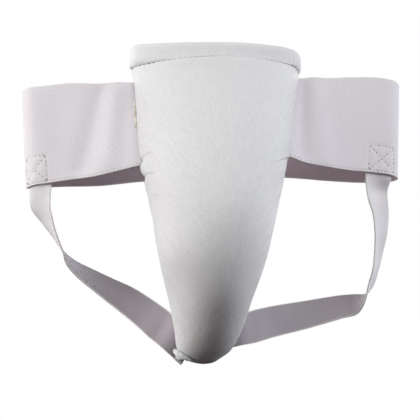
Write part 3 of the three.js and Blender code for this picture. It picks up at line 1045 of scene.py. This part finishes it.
def elastic_finish(name, width, pale, deep, cords, ribs, lean=0, dots=0, loose=0.9):
    """Woven elastic: cords along it, ribs across it, fuzz, cream selvedges, dots by the lower one."""
    finish = Finish(name, {"Sheen Weight": 0.12, "Specular IOR Level": 0.2})
    flat = finish.flat()
    along = finish.part(flat, 0)
    across = finish.part(flat, 1)
    cord = across.wave(CORD_PITCH) * cords
    rib = (along + across * lean).wave(RIB_PITCH) * ribs
    fuzz = finish.noise(flat, FUZZ_SCALE, 1.0)
    mottle = finish.noise(finish.stretched(flat, MOTTLE_SCALE), 1.0, 1.0)
    above_foot = width * MM - across
    inset = width / 2 * MM - (across - width / 2 * MM).size()
    selvedge = inset.over(SELVEDGE)
    line = above_foot.over(DOT_LINE[0]) * above_foot.over(DOT_LINE[1])
    dot = line * along.wave(DOT_PITCH).rise(*DOT_TONES) * dots
    ground = finish.mix(finish.noise(flat, CLOUD_SCALE), pale, deep)
    woven = finish.mix((cord + rib) * 0.5 + mottle.rise(*MOTTLE_TONES) * loose, ground, deep)
    fuzzy = finish.mix(fuzz.rise(*DARK_TONES) * loose, woven, deep)
    dotted = finish.mix(dot * 0.42, fuzzy, DOT_GREY)
    finish.colour(finish.mix(selvedge * 0.6, dotted, SELVEDGE_CREAM))
    finish.roughness(0.78 + fuzz * 0.18)
    uneven_yarn = (fuzz * 0.55 + mottle * 0.65) * loose
    finish.relief(cord * 0.6 + rib * 0.5 + uneven_yarn - dot, distance=0.12, strength=0.6)
    return finish.material


def thread_finish(name, dark, light):
    """Twisted sewing thread whose tone changes from stitch to stitch."""
    finish = Finish(name, {"Specular IOR Level": 0.3})
    place = finish.place()
    strands = finish.noise(place, STRAND_SCALE)
    by_stitch = finish.noise(place, STITCH_TONE_SCALE).rise(*STITCH_TONES)
    finish.colour(finish.mix(by_stitch, dark, light))
    finish.roughness(0.6 + strands * 0.3)
    finish.relief(strands, distance=0.15, strength=0.6)
    return finish.material


def floor_finish():
    """Plain pale studio floor, with a glow that keeps it pale away from the lights."""
    finish = Finish("pale_floor", {
        "Specular IOR Level": 0.2, "Emission Color": (1, 1, 1, 1), "Emission Strength": FLOOR_GLOW})
    dapple = finish.noise(finish.place(), FLOOR_DAPPLE_SCALE)
    finish.colour(finish.mix(dapple, *FLOOR_GREYS))
    finish.roughness(0.8 + dapple * 0.1)
    return finish.material


# The object.

vinyl = vinyl_finish()
waist_outside = elastic_finish(
    "waist_elastic_outside", BAND_WIDTH, pale=(0.925, 0.90, 0.93, 1), deep=(0.765, 0.735, 0.775, 1),
    cords=0.3, ribs=0.2, dots=1)
# The waistband's inner face is a darker mauve copy of its elastic: partly the elastic's own greyer back,
# partly painted shade of the loop's interior.
waist_inside_tone_and_painted_shade = elastic_finish(
    "waist_elastic_inside_tone_and_painted_shade", BAND_WIDTH, pale=(0.71, 0.60, 0.645, 1), deep=(0.60, 0.505, 0.55, 1),
    cords=0.9, ribs=0.1)
strap_outside = elastic_finish(
    "strap_elastic_outside", STRAP_WIDTH, pale=(0.88, 0.865, 0.88, 1), deep=(0.77, 0.75, 0.77, 1),
    cords=0.15, ribs=0.3, lean=0.35)
# The straps' inner faces are a darker mauve copy of their elastic: partly the elastic's own greyer back,
# partly painted shade where the straps lie in shadow.
strap_inside_tone_and_painted_shade = elastic_finish(
    "strap_elastic_inside_tone_and_painted_shade", STRAP_WIDTH, pale=(0.57, 0.525, 0.57, 1), deep=(0.37, 0.34, 0.375, 1),
    cords=0.15, ribs=1.6, lean=0.14, loose=0.3)
# The roll seam's thread is dark grey: partly its own tone, partly painted shade of the stitch holes in
# the groove.
seam_thread_and_painted_hole_shade = thread_finish("seam_thread_and_painted_hole_shade", (0.24, 0.23, 0.22, 1), (0.52, 0.50, 0.48, 1))
elastic_thread = thread_finish("elastic_thread", (0.27, 0.23, 0.19, 1), (0.74, 0.69, 0.61, 1))
raw_cut = thread_finish("raw_cut_edge", (0.62, 0.58, 0.47, 1), (0.86, 0.84, 0.77, 1))


def wear(piece, slot, *finishes):
    """Gives a piece its finishes and lets it ride with the guard; slot is not used."""
    for material in finishes:
        piece.data.materials.append(material)
    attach(piece, "root")


cover = make_padded("cup_cover_padded", COVER_GRID, cup_cover_shape)
wear(cover, "vinyl", vinyl)
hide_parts("cup_cover")

roll = make_padded("top_roll_padded", ROLL_GRID, top_roll_shape)
wear(roll, "vinyl", vinyl)
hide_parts("top_roll")

hem = make_padded("hem_fold_rolled", HEM_GRID, hem_fold_shape)
wear(hem, "vinyl", vinyl)
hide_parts("hem_fold")

waistband = make_sheet(
    "waistband_elastic", BAND_GRID, waistband_shape, BAND_THICK, BAND_EDGE, flip=True, inside=1)
wear(waistband, "waist_elastic", waist_outside, waist_inside_tone_and_painted_shade)
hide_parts("waistband")

left_strap = make_strap("leg_strap_left_elastic", -1)
wear(left_strap, "strap_elastic", strap_outside, strap_inside_tone_and_painted_shade)
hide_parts("leg_strap_left")

right_strap = make_strap("leg_strap_right_elastic", 1)
wear(right_strap, "strap_elastic", strap_outside, strap_inside_tone_and_painted_shade)
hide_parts("leg_strap_right")

corner = make_sheet(
    "strap_corner_left", CORNER_GRID, strap_corner_shape, CORNER_THICK, CORNER_EDGE)
wear(corner, "strap_elastic", strap_outside)
raw_edge = make_sheet(
    "waistband_raw_edge", RAW_EDGE_GRID, raw_edge_shape, RAW_EDGE_THICK, RAW_EDGE_ROUND, flip=True)
wear(raw_edge, "waist_elastic", raw_cut)
roll_stitches = stitched(
    "roll_seam_stitches", [roll_seam_line()], SEAM_PITCH, SEAM_STITCH_LONG, SEAM_STITCH_RADIUS)
wear(roll_stitches, "vinyl", seam_thread_and_painted_hole_shade)
rim_stitches = stitched("rim_seam_stitches", rim_lines(), SEAM_PITCH)
wear(rim_stitches, "vinyl", elastic_thread)
band_stitches = stitched("band_end_stitches", band_end_lines())
wear(band_stitches, "waist_elastic", elastic_thread)
left_stitches = stitched("strap_stitches_left", strap_sewn_lines(-1))
wear(left_stitches, "strap_elastic", elastic_thread)
right_stitches = stitched("strap_stitches_right", strap_sewn_lines(1))
wear(right_stitches, "strap_elastic", elastic_thread)

left_flat = (STRAP_WIDTH * MM, strap_length(-1)[-1] * MM)
right_flat = (STRAP_WIDTH * MM, strap_length(1)[-1] * MM)

# The stage: a pale floor below the guard, soft lights, and the camera at the photograph's angle.
FLOOR_LEVEL = -560
FLOOR_SIZE = 3000
FLOOR_GLOW = 0.7
FLOOR_GREYS = ((0.70, 0.70, 0.70, 1), (0.72, 0.72, 0.72, 1))
FLOOR_DAPPLE_SCALE = 6.0
TARGET = Vector((0.0004, 0, -0.058))  # in metres, what the lights and camera point at

floor_bm = bmesh.new()
bmesh.ops.create_grid(floor_bm, x_segments=1, y_segments=1, size=FLOOR_SIZE * MM)
bmesh.ops.translate(floor_bm, verts=floor_bm.verts, vec=(0, 0, FLOOR_LEVEL * MM))
floor = finished("studio_floor", floor_bm)
floor.data.materials.append(floor_finish())
floor.visible_diffuse = False  # the guard hangs clear and takes no light from it
floor.visible_glossy = False


def aimed(data, name, place):
    """A light or camera at a place, turned to the guard."""
    item = bpy.data.objects.new(name, data)
    item.location = place
    item.rotation_euler = (TARGET - Vector(place)).to_track_quat("-Z", "Y").to_euler()
    bpy.context.scene.collection.objects.link(item)
    return item


# Soft lights: the direction of each from the guard, its power in watts and its colour.
LIGHT_DISTANCE = 1.6  # in metres, as its size is
LIGHT_SIZE = 1
PLAIN = (1, 1, 1)
WARM = (1, 0.99, 0.97)
COOL = (0.94, 0.96, 1)
COOLER = (0.925, 0.95, 1)
LIGHTS = {
    "back_light": ((0, 0.8, 0.6), 11, PLAIN),
    "left_back_light": ((-0.8, 0.55, 0.15), 12.5, (1, 0.99, 0.98)),
    "right_back_light": ((0.75, 0.6, 0.2), 11, COOL),
    "left_light": ((-1, -0.1, 0.1), 9.1, WARM),
    "left_front_light": ((-0.91, -0.39, 0.08), 8.7, WARM),
    "left_high_light": ((-0.6, -0.58, 0.57), 5, WARM),
    "front_high_light": ((0.15, -0.8, 0.58), 8.2, PLAIN),
    "front_right_light": ((0.55, -0.7, 0.45), 5.6, COOL),
    "right_front_light": ((0.9, -0.4, 0.2), 6.5, COOLER),
    "right_light": ((1, 0.1, 0.1), 6.4, COOLER),
}
for name, (direction, power, colour) in LIGHTS.items():
    panel = bpy.data.lights.new(name, "AREA")
    panel.shape = "SQUARE"
    panel.size = LIGHT_SIZE
    panel.energy = power
    panel.color = colour
    aimed(panel, name, TARGET + Vector(direction).normalized() * LIGHT_DISTANCE)

AMBIENT = 0.038
AMBIENT_COLOUR = (1, 0.70, 0.72, 1)
world = bpy.data.worlds.new("studio")
world.use_nodes = True
bpy.context.scene.world = world
sky = Tree(world.node_tree)
shade = sky.node("ShaderNodeBackground", {}, {"Color": AMBIENT_COLOUR, "Strength": AMBIENT})
backdrop = sky.node("ShaderNodeBackground", {}, {"Color": (1, 1, 1, 1)})
seen = sky.node("ShaderNodeLightPath", {}, {}, "Is Camera Ray")
chosen = sky.node("ShaderNodeMixShader", {}, {0: seen, 1: shade, 2: backdrop})
sky.put(world.node_tree.nodes["World Output"].inputs["Surface"], chosen)

CAMERA_AZIMUTH = math.radians(-8)
CAMERA_ELEVATION = math.radians(-8)
CAMERA_DISTANCE = 1.1
CAMERA_LENS = 123.25
CAMERA_SENSOR = 36

backwards = Vector((
    math.sin(CAMERA_AZIMUTH) * math.cos(CAMERA_ELEVATION),
    -math.cos(CAMERA_AZIMUTH) * math.cos(CAMERA_ELEVATION),
    math.sin(CAMERA_ELEVATION),
))
lens = bpy.data.cameras.new("photo_camera")
lens.lens = CAMERA_LENS
lens.sensor_width = CAMERA_SENSOR
bpy.context.scene.camera = aimed(lens, "photo_camera", TARGET + backwards * CAMERA_DISTANCE)
bpy.context.scene.view_settings.view_transform = "Standard"
